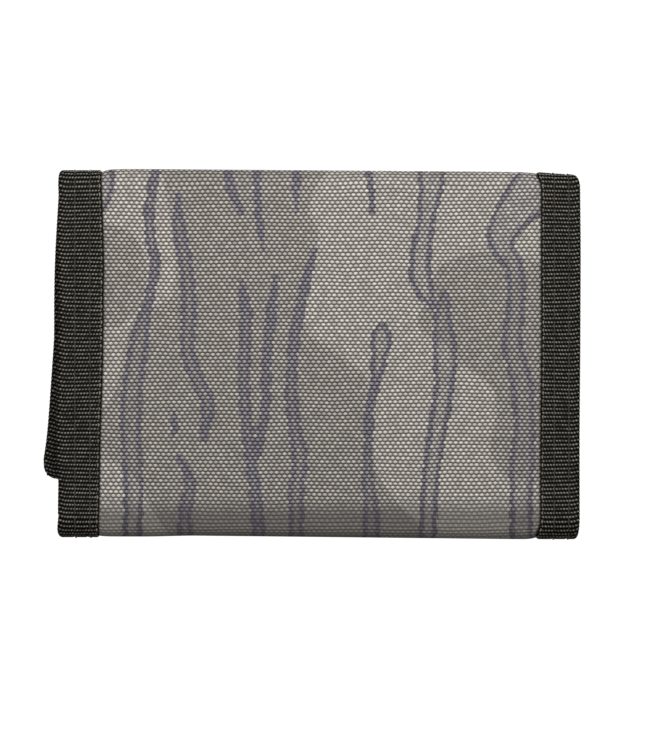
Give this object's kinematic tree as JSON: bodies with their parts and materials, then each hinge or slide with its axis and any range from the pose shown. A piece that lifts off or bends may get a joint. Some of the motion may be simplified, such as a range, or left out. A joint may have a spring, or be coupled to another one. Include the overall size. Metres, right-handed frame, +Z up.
{
  "type": "trifold wallet",
  "caption": "Folded trifold wallet of printed woven fabric with ribbed binding tape, a hook-and-loop flap, a bill compartment, card slots, a clear window and a zipped coin pocket.",
  "frame": {"origin": "middle of the bounding box's underside; the wallet stands folded on its bottom fold", "axes": "+X along the folds, to the right as seen from the front; +Y from the plain front panel to the closure flap at the back; +Z up"},
  "size_m": [0.1282, 0.016, 0.088],
  "materials": {
    "printed_fabric": "coarse plain weave, grey and taupe blotches with violet-grey wavering lines",
    "binding_tape": "black ribbed webbing, two rows of lockstitch",
    "lining_nylon": "fine black nylon",
    "pocket_nylon": "fine black nylon",
    "zip_tape": "black woven zip tape",
    "zip_coil": "black nylon coil",
    "zip_metal": "dark plated metal",
    "zip_pull": "black moulded tab",
    "clear_vinyl": "clear soft vinyl",
    "loop_pile": "black brushed loop pile",
    "hook_plastic": "black hook tape"
  },
  "bodies": {
    "front_panel": {"front_shell": "printed_fabric", "front_lining": "lining_nylon", "front_left_binding": "binding_tape", "front_right_binding": "binding_tape", "bill_divider": "lining_nylon", "bill_mouth_binding": "binding_tape", "coin_pocket_wall": "pocket_nylon", "coin_pocket_top_strip": "pocket_nylon", "zip_tape_lower": "zip_tape", "zip_tape_upper": "zip_tape", "zip_coil_lower": "zip_coil", "zip_coil_upper": "zip_coil", "zip_stop_left": "zip_metal", "zip_stop_right": "zip_metal"},
    "top_spine": {"top_fold_shell": "printed_fabric", "top_fold_left_binding": "binding_tape", "top_fold_right_binding": "binding_tape"},
    "closure_flap": {"flap_shell": "printed_fabric", "flap_lining": "lining_nylon", "flap_left_binding": "binding_tape", "flap_right_binding": "binding_tape", "flap_end_binding": "binding_tape", "hook_patch": "hook_plastic"},
    "bottom_spine": {"bottom_fold_shell": "printed_fabric", "bottom_fold_left_binding": "binding_tape", "bottom_fold_right_binding": "binding_tape"},
    "lower_panel": {"lower_shell": "printed_fabric", "lower_lining": "lining_nylon", "lower_left_binding": "binding_tape", "lower_right_binding": "binding_tape", "lower_end_binding": "binding_tape", "back_card_slot": "pocket_nylon", "back_card_slot_trim": "binding_tape", "middle_card_slot": "pocket_nylon", "middle_card_slot_trim": "binding_tape", "id_window": "clear_vinyl", "id_window_trim": "binding_tape", "loop_patch": "loop_pile"},
    "zip_slider": {"zip_slider": "zip_metal"},
    "zip_pull": {"zip_pull": "zip_pull"}
  },
  "joints": [
    {"name": "top_fold_front", "type": "hinge", "parent": "front_panel", "child": "top_spine", "pos_m": [0.0016, -0.00643, 0.08649], "axis": [1, 0, 0], "range_deg": [0, 90]},
    {"name": "top_fold_back", "type": "hinge", "parent": "top_spine", "child": "closure_flap", "pos_m": [0.0016, 0.00643, 0.08649], "axis": [1, 0, 0], "range_deg": [0, 90]},
    {"name": "bottom_fold_front", "type": "hinge", "parent": "front_panel", "child": "bottom_spine", "pos_m": [0.0016, -0.00669, 0.00126], "axis": [-1, 0, 0], "range_deg": [0, 90], "deforming": ["flap_shell", "flap_lining", "flap_left_binding", "flap_right_binding", "flap_end_binding", "hook_patch"]},
    {"name": "bottom_fold_back", "type": "hinge", "parent": "bottom_spine", "child": "lower_panel", "pos_m": [0.0016, 0.00339, 0.00126], "axis": [-1, 0, 0], "range_deg": [0, 90]},
    {"name": "zip_slide", "type": "slide", "parent": "front_panel", "child": "zip_slider", "axis": [-1, 0, 0], "range_m": [0, 0.082]},
    {"name": "zip_pull_swing", "type": "hinge", "parent": "zip_slider", "child": "zip_pull", "pos_m": [0.0426, 0.00025, 0.07], "axis": [0, 1, 0], "range_deg": [-90, 90]}
  ],
  "couplings": [
    {"joint": "top_fold_back", "follows": "top_fold_front", "ratio": 1},
    {"joint": "bottom_fold_back", "follows": "bottom_fold_front", "ratio": 1}
  ]
}
